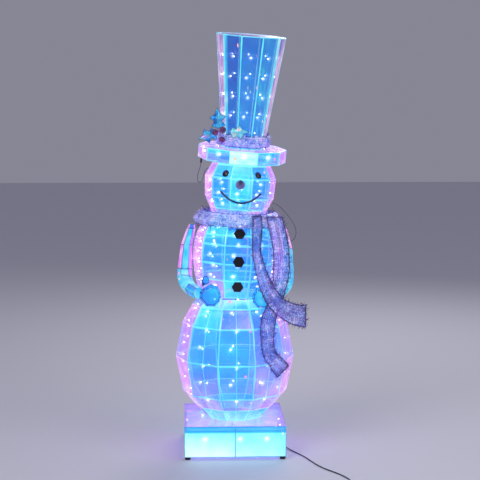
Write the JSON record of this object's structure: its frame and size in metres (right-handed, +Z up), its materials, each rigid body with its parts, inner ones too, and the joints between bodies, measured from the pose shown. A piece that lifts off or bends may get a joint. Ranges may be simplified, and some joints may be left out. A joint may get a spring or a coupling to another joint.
{
  "type": "lit snowman figure",
  "caption": "Free-standing lit snowman: stacked wire-frame sections clad in iridescent film, with light strings inside, scarf, mittens and a tall hat.",
  "frame": {"origin": "on the ground under the centre of the square base", "axes": "+Z up, -Y is the front with the face and buttons, +X to the right as seen from the front"},
  "size_m": [0.925, 0.9503, 1.8238],
  "materials": {
    "painted_wire": "white powder-coated steel wire",
    "film_base": "iridescent film, pale cyan face",
    "film_pink": "iridescent film, pink-lilac face",
    "film_cyan": "iridescent film, cyan-blue face",
    "film_brim": "iridescent film, blue face",
    "film_crown": "iridescent film, deep blue face",
    "film_arm": "iridescent film, blue face",
    "film_mitten": "iridescent film, blue face",
    "clear_lead": "clear PVC lead",
    "led_bulb": "water-clear LED, cool white, emissive",
    "hook_wire": "dark coated wire",
    "foot_rubber": "matt moulded rubber",
    "gland_plastic": "moulded",
    "lead_sheath": "PVC sheath",
    "plug_plastic": "moulded ABS",
    "pin_brass": "nickel-plated",
    "button_plastic": "moulded",
    "face_plastic": "moulded",
    "nose_plastic": "moulded, frosted",
    "tinsel_mesh": "tinsel mesh with wired edges",
    "leaf_film": "iridescent film in a wire outline",
    "berry_glitter": "glitter-coated ball"
  },
  "bodies": {
    "base": {"base_frame": "painted_wire", "base_wall_film": "film_base", "base_top_film": "film_pink", "feet": "foot_rubber", "base_string_lead": "clear_lead", "base_bulbs": "led_bulb", "lead_gland": "gland_plastic", "power_lead": "lead_sheath", "power_lead_coil": "lead_sheath", "power_adapter": "plug_plastic", "adapter_pins": "pin_brass"},
    "lower_body": {"lower_body_frame": "painted_wire", "lower_body_front_film": "film_cyan", "lower_body_back_film": "film_cyan", "lower_body_side_films": "film_pink", "lower_body_string_lead": "clear_lead", "lower_body_bulbs": "led_bulb", "lower_body_hooks": "hook_wire"},
    "torso": {"torso_frame": "painted_wire", "torso_front_film": "film_cyan", "torso_back_film": "film_cyan", "torso_side_films": "film_pink", "torso_string_lead": "clear_lead", "torso_bulbs": "led_bulb", "torso_hooks": "hook_wire", "coat_buttons": "button_plastic", "left_arm_frame": "painted_wire", "left_arm_film": "film_arm", "left_mitten_film": "film_mitten", "right_arm_frame": "painted_wire", "right_arm_film": "film_arm", "right_mitten_film": "film_mitten", "scarf_collar": "tinsel_mesh", "scarf_short_tail": "tinsel_mesh", "scarf_long_tail": "tinsel_mesh", "neck_link_socket": "plug_plastic"},
    "head": {"head_frame": "painted_wire", "head_front_film": "film_cyan", "head_back_film": "film_cyan", "head_side_films": "film_pink", "head_string_lead": "clear_lead", "head_bulbs": "led_bulb", "head_hooks": "hook_wire", "eyes": "face_plastic", "nose": "nose_plastic", "smile": "face_plastic", "neck_link_lead": "lead_sheath", "hat_link_lead": "lead_sheath", "link_plugs": "plug_plastic"},
    "hat": {"hat_frame": "painted_wire", "brim_band_film": "film_brim", "brim_disc_films": "film_pink", "crown_film": "film_crown", "hat_string_lead": "clear_lead", "hat_bulbs": "led_bulb", "hat_hooks": "hook_wire", "hat_band": "tinsel_mesh", "holly_leaves": "leaf_film", "holly_berries": "berry_glitter", "hat_link_socket": "plug_plastic"}
  },
  "joints": [
    {"name": "lower_body_lift", "type": "slide", "parent": "base", "child": "lower_body", "axis": [0, 0, 1], "range_m": [0, 0.12]},
    {"name": "torso_lift", "type": "slide", "parent": "lower_body", "child": "torso", "axis": [0.0419, 0, 0.9991], "range_m": [0, 0.36]},
    {"name": "head_lift", "type": "slide", "parent": "torso", "child": "head", "axis": [0.0663, 0, 0.9978], "range_m": [0, 0.18]},
    {"name": "hat_lift", "type": "slide", "parent": "head", "child": "hat", "axis": [0.0747, -0.0785, 0.9941], "range_m": [0, 0.15]}
  ]
}
